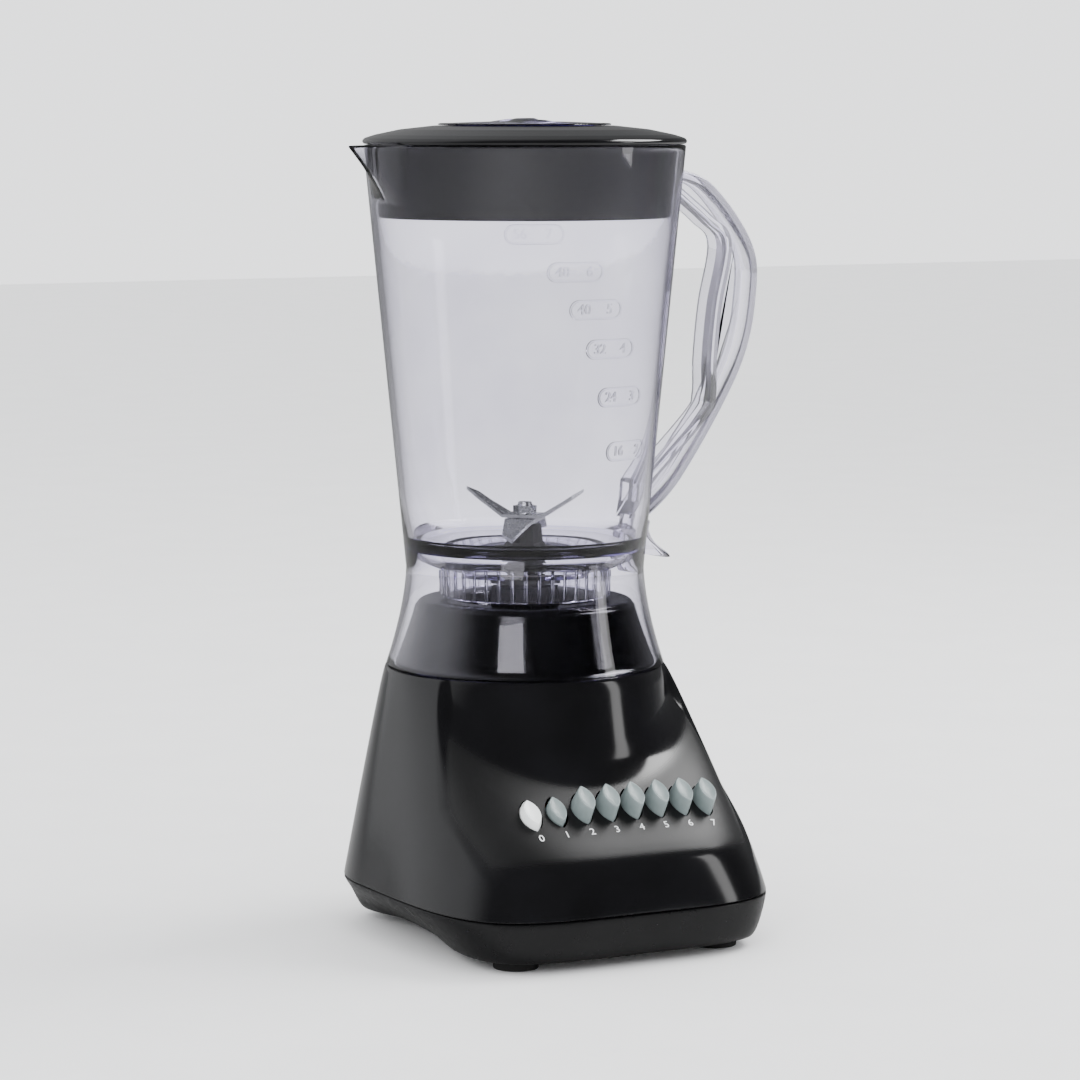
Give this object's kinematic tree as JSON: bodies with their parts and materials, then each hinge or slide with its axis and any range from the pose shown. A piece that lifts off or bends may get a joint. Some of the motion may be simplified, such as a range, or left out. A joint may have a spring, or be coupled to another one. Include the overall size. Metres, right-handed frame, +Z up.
{
  "type": "countertop blender",
  "caption": "Countertop blender: clear jar with spout, handle and capped lid on a flared gloss black base with a sloping row of push keys, motor, clutch and blades inside.",
  "frame": {"origin": "middle of the underside of the bounding box, on the plane that the feet stand on", "axes": "+Z up along the jar, -Y towards the user and out of the control panel, +X towards the jar's handle, -X towards its spout"},
  "size_m": [0.2102, 0.1912, 0.3751],
  "materials": {
    "housing_gloss_black": "moulded ABS, high gloss",
    "cover_satin_black": "moulded ABS, fine satin texture",
    "jar_clear": "clear moulded copolyester",
    "cap_clear": "clear moulded copolyester with a faint violet tint",
    "lid_gloss_black": "moulded polypropylene, gloss",
    "key_grey": "moulded ABS, semi-gloss",
    "key_white": "moulded ABS, semi-gloss",
    "foot_rubber": "moulded rubber, matt",
    "clutch_rubber": "hard moulded rubber",
    "blade_steel": "ground stainless steel",
    "turned_steel": "turned bright steel",
    "laminations": "varnished stack of electrical steel sheets",
    "copper": "enamelled copper wire and copper bars",
    "bronze": "sintered bronze and bright brass strip",
    "bracket_alloy": "die-cast",
    "carbon": "pressed carbon",
    "phenolic": "moulded phenolic resin",
    "nylon": "moulded nylon",
    "holder_black": "moulded glass-filled nylon"
  },
  "bodies": {
    "base": {"upper_housing": "housing_gloss_black", "bottom_cover": "cover_satin_black", "foot_1": "foot_rubber", "foot_2": "foot_rubber", "foot_3": "foot_rubber", "foot_4": "foot_rubber", "housing_screw_1": "turned_steel", "housing_screw_2": "turned_steel", "housing_screw_3": "turned_steel", "housing_screw_4": "turned_steel", "cord_gland": "foot_rubber", "switch_bank": "phenolic", "switch_terminals": "bronze", "stator_core": "laminations", "motor_bracket_upper": "bracket_alloy", "motor_bracket_lower": "bracket_alloy", "motor_bearing_upper": "bronze", "motor_bearing_lower": "bronze", "field_coil_left": "copper", "field_coil_right": "copper", "motor_bolt_left": "turned_steel", "motor_bolt_right": "turned_steel", "motor_mount_left": "foot_rubber", "motor_mount_right": "foot_rubber", "brush_holder_front": "bronze", "brush_holder_rear": "bronze", "carbon_brush_front": "carbon", "carbon_brush_rear": "carbon", "shaft_seal": "foot_rubber"},
    "rotor": {"motor_shaft": "turned_steel", "armature_core": "laminations", "armature_windings": "copper", "commutator": "copper", "cooling_fan": "nylon", "drive_coupling": "clutch_rubber"},
    "key_off": {"button_off": "key_white"},
    "key_low": {"button_low": "key_grey"},
    "key_high": {"button_high": "key_grey"},
    "key_speed_1": {"button_speed_1": "key_grey"},
    "key_speed_2": {"button_speed_2": "key_grey"},
    "key_speed_3": {"button_speed_3": "key_grey"},
    "key_speed_4": {"button_speed_4": "key_grey"},
    "key_speed_5": {"button_speed_5": "key_grey"},
    "jar": {"jar": "jar_clear", "blade_bearing_housing": "holder_black", "jar_gasket": "nylon", "housing_lock_nut": "holder_black", "spindle_bushing_lower": "bronze", "spindle_bushing_upper": "bronze"},
    "blades": {"spindle": "turned_steel", "thrust_washer": "turned_steel", "blade_lower": "blade_steel", "blade_upper": "blade_steel", "blade_nut": "turned_steel", "jar_coupling": "clutch_rubber"},
    "lid": {"lid": "lid_gloss_black"},
    "filler_cap": {"filler_cap": "cap_clear"}
  },
  "joints": [
    {"name": "jar_lift", "type": "slide", "parent": "base", "child": "jar", "axis": [0, 0, 1], "range_m": [0, 0.06]},
    {"name": "lid_lift", "type": "slide", "parent": "jar", "child": "lid", "axis": [0, 0, 1], "range_m": [0, 0.05]},
    {"name": "cap_lift", "type": "slide", "parent": "lid", "child": "filler_cap", "axis": [0, 0, 1], "range_m": [0, 0.035]},
    {"name": "motor_spin", "type": "hinge", "parent": "base", "child": "rotor", "pos_m": [-0.01516, 0.0206, 0.0922], "axis": [0, 0, 1], "continuous": true},
    {"name": "blade_spin", "type": "hinge", "parent": "jar", "child": "blades", "pos_m": [-0.01516, 0.0206, 0.175], "axis": [0, 0, 1], "continuous": true},
    {"name": "press_off", "type": "slide", "parent": "base", "child": "key_off", "axis": [0, 0.6157, -0.788], "range_m": [0, 0.003], "stiffness_N_per_m": 200, "springref_m": -0.005},
    {"name": "release_low", "type": "slide", "parent": "base", "child": "key_low", "axis": [0, 0.6157, -0.788], "range_m": [-0.0054, 0]},
    {"name": "press_high", "type": "slide", "parent": "base", "child": "key_high", "axis": [0, 0.6157, -0.788], "range_m": [0, 0.0054], "stiffness_N_per_m": 200, "springref_m": -0.005},
    {"name": "press_speed_1", "type": "slide", "parent": "base", "child": "key_speed_1", "axis": [0, 0.6157, -0.788], "range_m": [0, 0.0054], "stiffness_N_per_m": 200, "springref_m": -0.005},
    {"name": "press_speed_2", "type": "slide", "parent": "base", "child": "key_speed_2", "axis": [0, 0.6157, -0.788], "range_m": [0, 0.0054], "stiffness_N_per_m": 200, "springref_m": -0.005},
    {"name": "press_speed_3", "type": "slide", "parent": "base", "child": "key_speed_3", "axis": [0, 0.6157, -0.788], "range_m": [0, 0.0054], "stiffness_N_per_m": 200, "springref_m": -0.005},
    {"name": "press_speed_4", "type": "slide", "parent": "base", "child": "key_speed_4", "axis": [0, 0.6157, -0.788], "range_m": [0, 0.0054], "stiffness_N_per_m": 200, "springref_m": -0.005},
    {"name": "press_speed_5", "type": "slide", "parent": "base", "child": "key_speed_5", "axis": [0, 0.6157, -0.788], "range_m": [0, 0.0054], "stiffness_N_per_m": 200, "springref_m": -0.005}
  ],
  "couplings": [
    {"joint": "blade_spin", "follows": "motor_spin", "ratio": 1}
  ]
}
